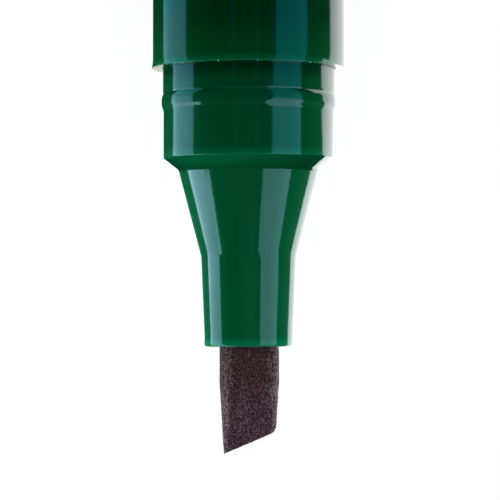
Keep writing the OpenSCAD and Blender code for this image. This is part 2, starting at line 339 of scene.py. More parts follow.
def grain(nodes, place, per_mm, along=1.0, detail=2.0):
    """Noise with a number of grains to the millimetre, drawn out along the marker by a factor."""
    scale = per_mm / MM
    spread = nodes.out("ShaderNodeMapping", {"Vector": place, "Scale": (scale, scale / along, scale)})
    return nodes.out("ShaderNodeTexNoise", {"Vector": spread, "Scale": 1.0, "Detail": detail})


def attribute(nodes, name):
    return nodes.out("ShaderNodeAttribute", output="Fac", attribute_name=name)


def bumps(nodes, height, depth):
    """Bumps of the given depth in millimetres."""
    return nodes.out("ShaderNodeBump", {"Height": height, "Strength": 1.0, "Distance": depth * MM})


def green_plastic(name, blue):
    """Glossy green plastic, with painted shade and a painted glow mixed in by values along each piece. A
    copy can have a little more or less blue in it.
    """
    material, nodes, place = new_material(name)
    deep = (0.0001, 0.081, 0.081 * blue, 1)
    clear = (0.0001, 0.101, 0.101 * blue, 1)
    painted_shade = (0.0001, 0.04, 0.04 * blue, 1)
    thin = (0.0002, 0.168, 0.168 * blue + 0.012, 1)
    scuffed = (0.0015, 0.12, 0.06, 1)
    flow = grain(nodes, place, 0.15, along=3.0, detail=3.0)
    scuff = grain(nodes, place, 5.0, along=30.0, detail=4.0).ramp(0.6, 0.78)
    draw_marks = grain(nodes, place, 1.6, along=25.0)
    peel = grain(nodes, place, 2.5, detail=1.0)
    colour = nodes.blend(flow, deep, clear)
    # Painted shade: a darker green where a piece carries shade along its profile.
    colour = nodes.blend(attribute(nodes, "painted_shade"), colour, painted_shade)
    # Painted glow: a lighter green standing in for light, at the lip, at the nose's edges and towards the
    # nozzle.
    colour = nodes.blend(attribute(nodes, "thin"), colour, thin)
    colour = nodes.blend(scuff * 0.25, colour, scuffed)
    return dressed(material, nodes, {
        "Base Color": colour, "Roughness": scuff * 0.1 + 0.1, "IOR": 1.5,
        "Specular Tint": (0.6, 0.9, 1.0, 1), "Normal": bumps(nodes, peel * 0.35 + draw_marks, 0.004)})


def pale_flash():
    """Pale plastic for the specks along the barrel's front edge."""
    material, nodes, place = new_material("pale_flash")
    greenish, whitish = (0.25, 0.5, 0.42, 1), (0.7, 0.8, 0.76, 1)
    colour = nodes.blend(grain(nodes, place, 8.0), greenish, whitish)
    return dressed(material, nodes, {"Base Color": colour, "Roughness": 0.35})


def inked_felt():
    """Felt soaked with ink, darker and browner towards the nozzle, with a painted sheen that makes the
    rounded corners paler."""
    material, nodes, place = new_material("inked_felt")
    hollow, worn_hollow = (0.017, 0.007, 0.0083, 1), (0.016, 0.012, 0.014, 1)
    raised, worn_raised = (0.080, 0.043, 0.050, 1), (0.160, 0.130, 0.138, 1)
    flecked, worn_flecked = (0.155, 0.098, 0.113, 1), (0.270, 0.245, 0.262, 1)
    tip_tone, mouth_tone = (1.3, 1.18, 1.32, 1), (0.75, 0.58, 0.55, 1)
    tip_tone_y, mouth_tone_y, ragged = tip_y + 4.5, mouth_y + 0.5, 4.0
    fibre = grain(nodes, place, 11.0, along=3.2, detail=1.0)
    fleck = grain(nodes, place, 11.0, along=2.2, detail=0.0)
    cloud = grain(nodes, place, 0.8, along=2.0, detail=3.0)
    thread = grain(nodes, place, 6.0, along=5.0, detail=1.0)
    # Painted sheen: the rounded corners get paler, greyer fibres, broken up by threads.
    worn = attribute(nodes, "worn") * thread.ramp(0.42, 0.58, 0.3, 1.4)
    dark = nodes.blend(worn, hollow, worn_hollow)
    light = nodes.blend(worn, raised, worn_raised)
    pale = nodes.blend(worn, flecked, worn_flecked)
    colour = nodes.blend(fibre.ramp(0.44, 0.56), dark, light)
    colour = nodes.blend(fleck.ramp(0.56, 0.62), colour, pale)
    colour = nodes.blend(attribute(nodes, "strand"), colour, pale)
    # Darker and browner towards the nozzle, paler and more purple towards the tip, with a ragged border
    # between.
    station = cloud * (ragged * MM) + place.parts()[1]
    tone = nodes.blend(station.ramp_mm(tip_tone_y, mouth_tone_y), tip_tone, mouth_tone)
    return dressed(material, nodes, {
        "Base Color": nodes.blend(1.0, colour, tone, "MULTIPLY"),
        "Roughness": fleck.ramp(0.45, 0.6, 0.8, 0.4), "Specular IOR Level": 0.28,
        "Specular Tint": (1.0, 0.65, 0.65, 1), "Normal": bumps(nodes, fleck * 0.6 + fibre, 0.1)})


def inked_rod():
    material, nodes, place = new_material("inked_rod")
    dark, light = (0.001, 0.02, 0.010, 1), (0.006, 0.07, 0.04, 1)
    fibre = grain(nodes, place, 6.0, along=20.0, detail=3.0)
    return dressed(material, nodes, {
        "Base Color": nodes.blend(fibre.ramp(0.3, 0.7), dark, light), "Roughness": 0.8,
        "Normal": bumps(nodes, fibre, 0.03)})


def clear_film():
    material, nodes, place = new_material("clear_film")
    smooth, creased = (0.55, 0.66, 0.60, 1), (0.72, 0.80, 0.76, 1)
    crease = grain(nodes, place, 0.4, along=3.0, detail=4.0)
    return dressed(material, nodes, {
        "Base Color": nodes.blend(crease, smooth, creased), "Roughness": crease * 0.2 + 0.1,
        "Transmission Weight": 0.6, "Normal": bumps(nodes, crease, 0.03)})


def natural_plastic():
    material, nodes, place = new_material("natural_plastic")
    cloudy, clear = (0.70, 0.72, 0.66, 1), (0.83, 0.84, 0.80, 1)
    cloud = grain(nodes, place, 0.3, detail=4.0)
    return dressed(material, nodes, {
        "Base Color": nodes.blend(cloud, cloudy, clear), "Roughness": cloud * 0.2 + 0.32,
        "Subsurface Weight": 0.2, "Subsurface Radius": (0.8 * MM, 0.8 * MM, 0.6 * MM),
        "Normal": bumps(nodes, grain(nodes, place, 3.0), 0.006)})


# Outlines and meshes

def fade(value, low, high):
    """Runs smoothly from 0 at low to 1 at high."""
    share = min(max((value - low) / (high - low), 0.0), 1.0)
    return share * share * (3 - 2 * share)


def spaced(start, end, count):
    """Evenly spaced values from start to end."""
    return [start + (end - start) * i / (count - 1) for i in range(count)]


def rounded(corners, steps=5):
    """Closed outline through corners (x, y, rounding), with a point close beside each round stretch so
    that the straight runs shade flat."""
    count = len(corners)
    beside, run_share = 0.12, 0.3
    spots = [Vector(corner[:2]) for corner in corners]
    bends = []
    for i, spot in enumerate(spots):
        rounding = corners[i][2]
        before = (spots[i - 1] - spot).normalized()
        after = (spots[(i + 1) % count] - spot).normalized()
        half = before.angle(after) / 2
        bends.append((before, after, half, rounding / math.tan(half) if rounding else 0.0))
    points = []
    for i, (before, after, half, reach) in enumerate(bends):
        spot = spots[i]
        if not reach:
            points.append(spot)
            continue
        middle = spot + (before + after).normalized() * corners[i][2] / math.sin(half)
        start = spot + before * reach - middle
        end = spot + after * reach - middle
        turn = math.atan2(start.x * end.y - start.y * end.x, start.dot(end))
        run_before = (spots[i - 1] - spot).length - reach - bends[i - 1][3]
        run_after = (spots[(i + 1) % count] - spot).length - reach - bends[(i + 1) % count][3]
        points.append(spot + before * (reach + min(beside, run_share * run_before)))
        for step in range(steps + 1):
            points.append(middle + Matrix.Rotation(turn * step / steps, 2) @ start)
        points.append(spot + after * (reach + min(beside, run_share * run_after)))
    return points


def mesh_of(points, faces=(), name="outline"):
    mesh = bpy.data.meshes.new(name)
    mesh.from_pydata([Vector(point) * MM for point in points], [], faces)
    return mesh


def add_values(mesh, name, values):
    mesh.attributes.new(name, "FLOAT", "POINT").data.foreach_set("value", values)


def loft(loops, name):
    """Closed skin over loops of equally many points."""
    count = len(loops[0])
    points = [point for loop in loops for point in loop]
    faces = [list(range(count)), list(range(len(points) - count, len(points)))]
    for i in range(len(loops) - 1):
        for j in range(count):
            k = (j + 1) % count
            faces.append([i * count + j, i * count + k, (i + 1) * count + k, (i + 1) * count + j])
    return mesh_of(points, faces, name)


def soft_box(left, right, half, corner_left, corner_right, side_steps, corner_steps):
    """Points (x, z) round a rectangle with round corners. The side steps are for its sides along X and
    along Z."""
    arcs = []
    for i, corner in enumerate((corner_right, corner_left, corner_left, corner_right)):
        x = right - corner if i in (0, 3) else left + corner
        z = half - corner if i < 2 else corner - half
        angles = [math.radians(turn) for turn in spaced(90 * i, 90 * i + 90, corner_steps + 1)]
        arcs.append([(x + corner * math.cos(angle), z + corner * math.sin(angle)) for angle in angles])
    points = []
    for i, arc in enumerate(arcs):
        points += arc
        (x, z), (next_x, next_z) = arc[-1], arcs[(i + 1) % 4][0]
        for share in spaced(0, 1, side_steps[i % 2] + 1)[1:-1]:
            points.append((x + (next_x - x) * share, z + (next_z - z) * share))
    return points


def smoothed(mesh, sharp):
    mesh.polygons.foreach_set("use_smooth", [True] * len(mesh.polygons))
    mesh.set_sharp_from_angle(angle=sharp)
    return mesh


def tidy(mesh, sharp=math.radians(40)):
    """Merges doubles, points the faces outwards and keeps only the sharp edges sharp."""
    skin = bmesh.new()
    skin.from_mesh(mesh)
    bmesh.ops.remove_doubles(skin, verts=skin.verts, dist=weld_gap * MM)
    bmesh.ops.dissolve_degenerate(skin, edges=skin.edges, dist=0.4 * weld_gap * MM)
    bmesh.ops.recalc_face_normals(skin, faces=skin.faces)
    skin.to_mesh(mesh)
    skin.free()
    return smoothed(mesh, sharp)


def scene_object(data, name):
    thing = bpy.data.objects.new(name, data)
    bpy.context.scene.collection.objects.link(thing)
    return thing


def settled(thing):
    """Plain mesh of an object as its modifiers leave it. The object is removed."""
    bpy.context.view_layer.update()
    graph = bpy.context.evaluated_depsgraph_get()
    mesh = bpy.data.meshes.new_from_object(thing.evaluated_get(graph))
    bpy.data.objects.remove(thing)
    return mesh


def grown(tree, mesh, **values):
    """Plain mesh that a geometry tree makes from a mesh, with the tree's named inputs set."""
    thing = scene_object(mesh, "draft")
    modifier = thing.modifiers.new("grow", "NODES")
    modifier.node_group = tree
    for item in tree.interface.items_tree:
        key = item.name.replace(" ", "_").lower()
        if item.in_out == "INPUT" and key in values:
            modifier[item.identifier] = values[key]
    return settled(thing)


def cut(mesh, tool, operation):
    """Boolean of two meshes."""
    thing = scene_object(mesh, "draft")
    cutter = scene_object(tool, "tool")
    modifier = thing.modifiers.new("cut", "BOOLEAN")
    modifier.operation = operation
    modifier.solver = "EXACT"
    modifier.object = cutter
    result = settled(thing)
    bpy.data.objects.remove(cutter)
    return result


def joined(*meshes):
    skin = bmesh.new()
    for mesh in meshes:
        skin.from_mesh(mesh)
    result = bpy.data.meshes.new("joined")
    skin.to_mesh(result)
    skin.free()
    for material in meshes[0].materials:
        result.materials.append(material)
    return result


def show(mesh, name, material, body, slot, *nodes):
    """Finished piece that rides on a body and stands for the CAD nodes."""
    mesh.name = name
    mesh.materials.clear()
    mesh.materials.append(material)
    mesh.polygons.foreach_set("material_index", [0] * len(mesh.polygons))
    piece = scene_object(mesh, name)
    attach(piece, body)
    if nodes:
        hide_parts(*nodes)


# Geometry trees

def new_tree(name, **inlets):
    """Geometry tree with a geometry input and named inputs. Gives the tree, its nodes and its inputs."""
    tree = bpy.data.node_groups.new(name, "GeometryNodeTree")
    tree.interface.new_socket("Shape", in_out="INPUT", socket_type="NodeSocketGeometry")
    for inlet, kind in inlets.items():
        label = inlet.replace("_", " ").capitalize()
        tree.interface.new_socket(label, in_out="INPUT", socket_type="NodeSocket" + kind)
    tree.interface.new_socket("Material", in_out="INPUT", socket_type="NodeSocketMaterial")
    tree.interface.new_socket("Shape", in_out="OUTPUT", socket_type="NodeSocketGeometry")
    nodes = Nodes(tree)
    return tree, nodes, nodes.outs("NodeGroupInput")


def close_tree(nodes, shape, material):
    """Ends a tree: instances become real and take the material."""
    real = nodes.out("GeometryNodeRealizeInstances", {0: shape})
    finished = nodes.out("GeometryNodeSetMaterial", {"Geometry": real, "Material": material})
    nodes.add("NodeGroupOutput", {0: finished})


def flute_sink(inlet, radius, turn):
    """Depth of a flute, which is the hollow that a round cutter leaves."""
    cutter = inlet["Flute radius"]
    pitch = radius * (2 * math.pi) / inlet["Flutes"]
    off = ((turn * inlet["Flutes"] + 0.5).fraction() - 0.5) * pitch
    hollow = (cutter * cutter - off * off).greater(0.0).root()
    return (hollow - (cutter - inlet["Flute depth"])).greater(0.0)


def nib_hole(inlet, across, up):
    """Radius of the nib's hole, which is a squared oval with two vents."""
    power = inlet["Hole squareness"]
    wide = abs(across) / inlet["Hole half width"]
    thick = abs(up) / inlet["Hole half thickness"]
    oval = (wide ** power + thick ** power) ** (-1.0 / power)
    in_vent = abs(across) * inlet["Hole half thickness"] < inlet["Vent width"] * 0.5
    return in_vent * inlet["Vent depth"] + oval


def turning_tree():
    """Turns a profile, X its radius and Y its station, round the marker's axis. The profile's own values
    say where it carries flutes, where it is the nib's hole, and where it carries painted glow and painted
    shade."""
    tree, nodes, inlet = new_tree(
        "Turned piece", segments="Int", flutes="Int", flute_radius="Float", flute_depth="Float",
        hole_half_width="Float", hole_half_thickness="Float", hole_squareness="Float",
        vent_width="Float", vent_depth="Float")
    profile = inlet["Shape"]
    count = nodes.outs("GeometryNodeAttributeDomainSize", {0: profile})["Point Count"]
    columns = inlet["Segments"] + 1.0
    sheet = nodes.out("GeometryNodeMeshGrid", {"Vertices X": columns, "Vertices Y": count})
    index = nodes.out("GeometryNodeInputIndex")
    column = ((index + 0.5) / count).floor()
    row = index - column * count
    turn = column / inlet["Segments"]
    angle = turn * (2 * math.pi)
    across, up = angle.sine(), angle.cosine()

    def sampled(value, data_type="FLOAT"):
        return nodes.out("GeometryNodeSampleIndex", {"Geometry": profile, "Value": value, "Index": row},
                         data_type=data_type)

    position = nodes.out("GeometryNodeInputPosition")
    profile_r, station = sampled(position, "FLOAT_VECTOR").parts()[:2]
    outer = profile_r - flute_sink(inlet, profile_r, turn) * sampled(nodes.named("flute"))
    hole_share = sampled(nodes.named("hole"))
    radius = nib_hole(inlet, across, up) * hole_share + outer * (1.0 - hole_share)
    shape = nodes.moved(sheet, nodes.join(radius * across, station, radius * up))
    # Painted glow and painted shade ride along as values on the points.
    for name in ("thin", "painted_shade"):
        shape = nodes.stored(shape, name, sampled(nodes.named(name)), "POINT")
    merged = nodes.out("GeometryNodeMergeByDistance", {"Geometry": shape, "Distance": weld_gap * MM})
    close_tree(nodes, merged, inlet["Material"])
    return tree


def rib_tree():
    """Sets ribs of one size round the marker's axis."""
    tree, nodes, inlet = new_tree("Ring of ribs", count="Int", inner="Float", outer="Float", low="Float",
                                  high="Float", width="Float", start="Float")
    inner, outer, low, high = inlet["Inner"], inlet["Outer"], inlet["Low"], inlet["High"]
    size = nodes.join(outer - inner, high - low, inlet["Width"])
    middle = nodes.join((outer + inner) * 0.5, (high + low) * 0.5, 0.0)
    block = nodes.out("GeometryNodeMeshCube", {"Size": size})
    block = nodes.out("GeometryNodeTransform", {"Geometry": block, "Translation": middle})
    spots = nodes.out("GeometryNodeMeshLine", {"Count": inlet["Count"], "Offset": (0, 0, 0)})
    turn = nodes.out("GeometryNodeInputIndex") / inlet["Count"] * (2 * math.pi) + inlet["Start"]
    close_tree(nodes, nodes.placed(spots, block, nodes.join(0.0, turn, 0.0)), inlet["Material"])
    return tree


def pointed_strand(nodes, length, width):
    """Strand that is slim and a little bent towards its two ends."""
    slimming, bend = -3.4, 1.5
    strand = nodes.out("GeometryNodeMeshCylinder", {"Vertices": 3, "Side Segments": 2, "Depth": length,
                                                    "Radius": width * 0.5})
    x, y, z = nodes.out("GeometryNodeInputPosition").parts()
    reach = abs(z) / length
    slim = reach * reach * slimming + 1.0
    bent = reach * reach * (width * bend)
    strand = nodes.moved(strand, nodes.join(x * slim + bent, y * slim, z))
    return nodes.out("GeometryNodeSetShadeSmooth", {"Geometry": strand})


def strand_tree():
    """Lays short pointed strands along the exposed faces of the nib, in the marker's direction."""
    tree, nodes, inlet = new_tree("Felt strands", density="Float", length="Float", width="Float",
                                  seed="Int")
    spread = nodes.outs("GeometryNodeDistributePointsOnFaces", {
        "Mesh": inlet["Shape"], "Selection": nodes.named("exposed") > 0.5,
        "Density": inlet["Density"], "Seed": inlet["Seed"]})
    strand = pointed_strand(nodes, inlet["Length"], inlet["Width"])

    # A strand follows the face that it lies on, and strays a little.
    outward = spread["Normal"]
    lean = nodes.random_vector((-0.6, 1.0, -0.6), (0.6, 1.0, 0.6), inlet["Seed"])
    rise = nodes.vector_math("DOT_PRODUCT", {0: lean, 1: outward}, output="Value")
    lift = nodes.vector_math("SCALE", {0: outward, "Scale": rise})
    along = nodes.vector_math("SUBTRACT", {0: lean, 1: lift})
    turn = nodes.out("FunctionNodeAlignRotationToVector", {"Vector": along}, axis="Z")
    size = nodes.random_vector((0.6, 0.6, 0.4), (1.3, 1.3, 1.2), 3)
    laid = nodes.placed(spread["Points"], strand, turn, size)

    # Few strands are pale, and those under the painted sheen on the corners are paler.
    tone = nodes.random(0.0, 1.0, 5) ** 2.5 * (nodes.named("worn") * 0.3 + 0.7)
    close_tree(nodes, nodes.stored(laid, "strand", tone, "INSTANCE"), inlet["Material"])
    return tree


def flash_tree():
    """Sets a ragged bit on each point of a mesh."""
    tree, nodes, inlet = new_tree("Mould flash", size="Float", seed="Int")
    bit = nodes.out("GeometryNodeMeshIcoSphere", {"Radius": inlet["Size"], "Subdivisions": 2})
    rough = nodes.random(0.65, 1.2, inlet["Seed"])
    position = nodes.out("GeometryNodeInputPosition")
    bit = nodes.moved(bit, nodes.vector_math("SCALE", {0: position, "Scale": rough}))
    size = nodes.random_vector((0.5, 0.4, 0.4), (1.2, 0.9, 0.9), inlet["Seed"])
    turn = nodes.random_vector((0, 0, 0), (6.3, 6.3, 6.3), 2)
    close_tree(nodes, nodes.placed(inlet["Shape"], bit, turn, size), inlet["Material"])
    return tree


def turned(points, material, segments=256, thin=None, painted_shade=None, flute=None, hole=None):
    """Mesh of a closed profile turned round the axis, with values along the profile from functions."""
    ring = list(points) + [points[0]]
    profile = mesh_of([(x, y, 0) for x, y in ring])
    for name, rule in (("thin", thin), ("painted_shade", painted_shade), ("flute", flute), ("hole", hole)):
        add_values(profile, name, [rule(x, y) if rule else 0.0 for x, y in ring])
    mesh = grown(turning, profile, segments=segments, flutes=flutes, flute_radius=flute_r * MM,
                 flute_depth=flute_depth * MM, hole_half_width=hole_r * MM,
                 hole_half_thickness=(nib_half_t + nib_gap) * MM, hole_squareness=hole_squareness,
                 vent_width=vent_w * MM, vent_depth=vent_depth * MM, material=material)
    return tidy(mesh)


def ribs(material, count, inner, outer, low, high, width, start):
    return grown(rib_ring, mesh_of([]), count=count, inner=inner * MM, outer=outer * MM, low=low * MM,
                 high=high * MM, width=width * MM, start=start, material=material)


turning, rib_ring, strands, flash = turning_tree(), rib_tree(), strand_tree(), flash_tree()
plastic = green_plastic("green_plastic", blue=0.325)
barrel_plastic = green_plastic("barrel_plastic", blue=0.26)
felt, rod_fibre = inked_felt(), inked_rod()
film, liner_plastic, flash_plastic = clear_film(), natural_plastic(), pale_flash()


# Marker

def make_barrel():
    """Tube with a flared lip. Painted shade darkens it from a little inside each end to a little past the
    spigots, and a painted glow lightens the outside of the lip.
    """
    def lip(y):
        return barrel_r + (lip_r - barrel_r) * max(0.0, 1 - y / lip_len) ** lip_curve

    # Painted glow on the outside of the lip, lightest at the front edge.
    def thin(x, y):
        return 1 - fade(y, 0.0, lip_glow) if x > socket_r + corner_break else 0.0

    # Painted shade: darker from a little inside each end, fading out past the spigot.
    def painted_shade(x, y):
        inset = min(y, barrel_y - y)
        return shade_level * fade(inset, shade_from, shade_full) * (1 - fade(inset, spigot_y, shade_end))

    lip_steps = 10
    socket_back = barrel_y - spigot_y
    insets = spaced(2 * shade_from, shade_full, 6) + spaced(spigot_y, shade_end, 5)
    corners = [(socket_r, 0, mouth_break), (lip(0), 0, lip_round)]
    corners += [(lip(y), y, 0) for y in spaced(lip_len / lip_steps, lip_len, lip_steps)]
    corners += [(barrel_r, inset, 0) for inset in insets]
    corners += [(barrel_r, barrel_y / 2, 0)]
    corners += [(barrel_r, barrel_y - inset, 0) for inset in reversed(insets)]
    corners += [(barrel_r, barrel_y, edge_break), (socket_r, barrel_y, mouth_break),
                (socket_r, socket_back, inner_break), (bore_r, socket_back, inner_break),
                (bore_r, spigot_y, inner_break), (socket_r, spigot_y, inner_break)]
    mesh = turned(rounded(corners), barrel_plastic, thin=thin, painted_shade=painted_shade)
    show(mesh, "barrel_tube", barrel_plastic, "marker", "green_plastic", "barrel")


def bead_points(rim, side, front_r):
    """Profile of the groove and the snap bead: rim is the barrel's edge and side points away from it. The
    bead rises out of the groove in an arc and falls in a wave."""
    points = [(neck_r, rim + side * (groove_at - groove_lead), corner_break)]
    for share in spaced(0, 1, 9):
        radius = bead_r - (bead_r - groove_r) * (1 - share) ** 2
        points.append((radius, rim + side * (groove_at + (bead_at - groove_at) * share), 0))
    for share in spaced(0, 1, 11):
        radius = bead_r - (bead_r - front_r) * (1 - math.cos(math.pi * share)) / 2
        points.append((radius, rim + side * (bead_at + bead_flat + bead_fall * share), 0))
    return points


def nose_glow(x, y):
    """Painted glow on the nose: a little more towards the nozzle, standing in for more light there, a
    painted highlight at the collar's lower edge and over the shoulder, and the most at the mouth as a
    painted edge glow."""
    front_glow, mouth_glow, shoulder_glow = 0.12, 1.1, 0.75
    front = 1 - fade(y, -22, -5)
    mouth = 1 - fade(y, mouth_y + 0.2, mouth_y + 0.85)
    if y > shoulder_y:
        shoulder = fade(y, shoulder_y + 0.85, shoulder_y)
    else:
        shoulder = fade(y, cone_y - 0.4, shoulder_y + 0.4)
    return front_glow * front + mouth_glow * mouth + shoulder_glow * shoulder


def make_nose():
    # Painted shade of the barrel's rim on the neck, darkest right under the rim.
    def painted_shade(x, y):
        return fade(y, -1.6, -0.2)

    def hole(x, y):
        return 1.0 if x <= hole_r + 0.07 and y <= seat_y else 0.0

    inner_cone_r = cone_r - section_wall
    flare = (nozzle_waist_r - nozzle_r) / nozzle_waist
    corners = [(skirt_r, spigot_y, inner_break), (neck_r, spigot_y, corner_break), (neck_r, neck_inset, 0)]
    corners += [(neck_r, y, 0) for y in spaced(-0.2, -1.8, 9)]
    corners += bead_points(0, -1, collar_r)
    corners += [(collar_r, y, 0) for y in spaced(shoulder_y + 0.9, shoulder_y + 0.3, 5)]
    corners += [(collar_r, shoulder_y, shoulder_round), (cone_r, cone_y, corner_break),
                (nozzle_root_r, nozzle_y, bend_round), (nozzle_waist_r, mouth_y + nozzle_waist, bend_round)]
    corners += [(nozzle_r + flare * rise, mouth_y + rise, 0) for rise in spaced(0.7, 0.3, 5)]
    corners += [(nozzle_r, mouth_y, nozzle_round), (hole_r, mouth_y, hole_break), (hole_r, seat_y, 0),
                (seat_r, seat_y + 0.01, 0), (inner_cone_r, cone_y, corner_break),
                (inner_cone_r, skirt_y, corner_break), (skirt_r, skirt_y, corner_break)]
    mesh = turned(rounded(corners), plastic, thin=nose_glow, painted_shade=painted_shade, hole=hole)
    show(mesh, "nose", plastic, "marker", "green_plastic", "front_section")


def nib_narrowing(rise):
    """What the taper takes off each side of the nib at a height."""
    return max(0.0, nib_taper_len - rise) * math.tan(nib_taper)


def nib_heel():
    """Height of the corner where the writing edge ends, and the middle of its rounding."""
    tip_x = -nib_half_w + nib_narrowing(0)
    slope = math.tan(nib_slant)
    rise = -2 * tip_x / (1 / slope - math.tan(nib_taper))
    corner = Vector((tip_x + rise / slope, rise))
    inward = Vector((-math.sin(nib_slant) - math.cos(nib_taper), math.cos(nib_slant) + math.sin(nib_taper)))
    return rise, corner + inward * nib_heel_round / (1 + math.sin(nib_slant + nib_taper))


def nib_right_edge(rise, middle):
    """Right-hand edge of the nib's broad face at a height: the slanted writing edge, the round heel and the
    tapered side."""
    low = middle.y - nib_heel_round * math.cos(nib_slant)
    high = middle.y - nib_heel_round * math.sin(nib_taper)
    if rise < low:
        return -nib_half_w + nib_narrowing(0) + rise / math.tan(nib_slant)
    if rise < high:
        return middle.x + math.sqrt(nib_heel_round ** 2 - (rise - middle.y) ** 2)
    return nib_half_w - nib_narrowing(rise)


def nib_loop(rise, heel_rise, middle):
    """Section of the nib at a height. It is a wedge towards the tip, and crisp along the writing edge."""
    left = -nib_half_w + nib_narrowing(rise)
    right = nib_right_edge(rise, middle)
    wedge = min(1.0, rise / nib_wedge_len)
    half = nib_edge_half_t + (nib_half_t - nib_edge_half_t) * wedge
    corner = nib_edge_corner + (nib_corner - nib_edge_corner) * wedge
    crisp = 1 - fade(rise, heel_rise - 0.6, heel_rise + 0.5)
    corner_right = corner + (nib_cut_corner - corner) * crisp
    back = max(0.0, rise - (nib_len - nib_back_len)) / nib_back_len * nib_back_bevel
    most = 0.45 * (right - left)
    box = soft_box(left + back, right - back, half - back, min(corner, most), min(corner_right, most),
                   side_steps=(40, 22), corner_steps=8)
    return [(x, tip_y + rise, z) for x, z in box]


def roughen(mesh):
    """Makes the felt that shows uneven, in furrows along its fibres."""
    furrow_depth, tuft_depth = 0.025, 0.03
    skin = bmesh.new()
    skin.from_mesh(mesh)
    moves = []
    for vert in skin.verts:
        x, y, z = vert.co / MM
        if y < mouth_y + 0.1:
            furrow = noise.noise(Vector((x * 4.5, y * 0.8, z * 4.5)))
            tuft = noise.noise(Vector((x * 1.6, y * 0.9, z * 1.6)))
            rise = furrow_depth * furrow + tuft_depth * tuft - tuft_depth
            moves.append((vert, vert.normal * rise * MM))
    for vert, move in moves:
        vert.co += move
    skin.to_mesh(mesh)
    skin.free()


def nib_sheen(vert):
    """Painted sheen on the nib's rounded corners, weaker towards the tip. On the left it ends short of the
    narrow face."""
    lean = abs(vert.normal.x)
    height = fade(vert.co.y / MM - tip_y, 3.7, 6.0)
    if vert.co.x < 0:
        return fade(lean, 0.06, 0.22) * (1 - fade(lean, 0.45, 0.95)) * (0.65 + 0.35 * height)
    return fade(lean, 0.06, 0.3) * (1 - fade(lean, 0.95, 0.999)) * (0.3 + 0.7 * height)


def make_nib():
    heel_rise, middle = nib_heel()
    shown = mouth_y - tip_y + 0.3
    fine_step, coarse_step = 0.05, 0.1
    rises = [0.03]
    while rises[-1] < shown:
        rises.append(rises[-1] + (fine_step if rises[-1] < heel_rise + 1 else coarse_step))
    rises += [shown + 1, nib_len - nib_back_len, nib_len - nib_back_len / 2, nib_len]
    loops = [nib_loop(rise, heel_rise, middle) for rise in rises]
    mesh = tidy(loft(loops, "felt"), sharp=math.radians(80))
    roughen(mesh)
    stations = [vert.co.y / MM for vert in mesh.vertices]
    add_values(mesh, "exposed", [1.0 if tip_y + 0.45 < y < mouth_y - 0.3 else 0.0 for y in stations])
    add_values(mesh, "worn", [nib_sheen(vert) for vert in mesh.vertices])
    show(mesh, "felt_nib", felt, "marker", "felt", "nib")
    make_strands(mesh.copy())


def make_strands(mesh):
    """Loose fibres on the shown felt."""
    per_mm2, strand_len, strand_w = 60, 0.2, 0.04
    laid = grown(strands, mesh, density=per_mm2 / MM ** 2, length=strand_len * MM, width=strand_w * MM,
                 seed=7, material=felt)
    show(laid, "nib_strands", felt, "marker", "felt")


def make_rod():
    points = rounded([(0, rod_y, 0), (rod_r, rod_y, wall_break), (rod_r, rod_back_y, wall_break),
                      (0, rod_back_y, 0)])
    mesh = turned(points, rod_fibre, segments=96)
    show(mesh, "fibre_rod", rod_fibre, "marker", "ink_fibre", "ink_reservoir")


def make_film():
    inner = rod_r + fit_gap
    film_break = 0.03
    points = rounded([(inner, rod_y, 0), (film_r, rod_y, film_break), (film_r, rod_back_y, film_break),
                      (inner, rod_back_y, 0)])
    show(turned(points, film, segments=96), "film_sleeve", film, "marker", "film", "reservoir_wrap")


def make_tail():
    """Plug with a spigot and a bead like the nose's, and the trace of the moulding gate in its end."""
    spigot_end = barrel_y - spigot_y
    gate_floor = tail_y - gate_depth
    pip_top = tail_y - pip_depth
    inside = tail_y - tail_end
    corners = [(skirt_r, spigot_end, inner_break), (neck_r, spigot_end, corner_break),
               (neck_r, barrel_y - neck_inset, 0)]
    corners += bead_points(barrel_y, 1, neck_r)
    corners += [(neck_r, tail_y, edge_break), (gate_r, tail_y, mouth_break),
                (gate_r, gate_floor, mouth_break), (pip_root_r, gate_floor, inner_break),
                (pip_r, pip_top, inner_break), (0, pip_top, 0), (0, inside, 0),
                (skirt_r, inside, wall_break)]
    show(turned(rounded(corners), plastic), "tail_end", plastic, "marker", "green_plastic", "tail_plug")


def make_flash():
    """Specks of flash along the barrel's front edge, by their turn from the top in degrees."""
    speck_turns = [-72, -56.5, -43, -41.5, -18, 5, 38, 123, 134, 160, 205, 252]
    speck_size, speck_y, ring_r = 0.095, -0.02, rim_r - 0.1
    spots = []
    for turn in speck_turns:
        angle = math.radians(turn)
        spots.append((ring_r * math.sin(angle), speck_y, ring_r * math.cos(angle)))
    bits = grown(flash, mesh_of(spots), size=speck_size * MM, seed=4, material=flash_plastic)
    show(tidy(bits), "rim_flash", flash_plastic, "marker", "green_plastic")


# Cap

def clip_loop(y, inner, outer):
    """Section of the clip at a station, between two distances from the axis. The free end is round."""
    round_from = clip_back_y - clip_len + clip_half_w
    half = clip_half_w
    if y < round_from:
        half = math.sqrt(max(clip_half_w ** 2 - (round_from - y) ** 2, clip_tip_half_w ** 2))
    corner = min(clip_round, 0.45 * half, 0.4 * (outer - inner))
    box = soft_box(inner, outer, half, corner, corner, side_steps=(4, 6), corner_steps=4)
    return [(x, y, z) for x, z in box]


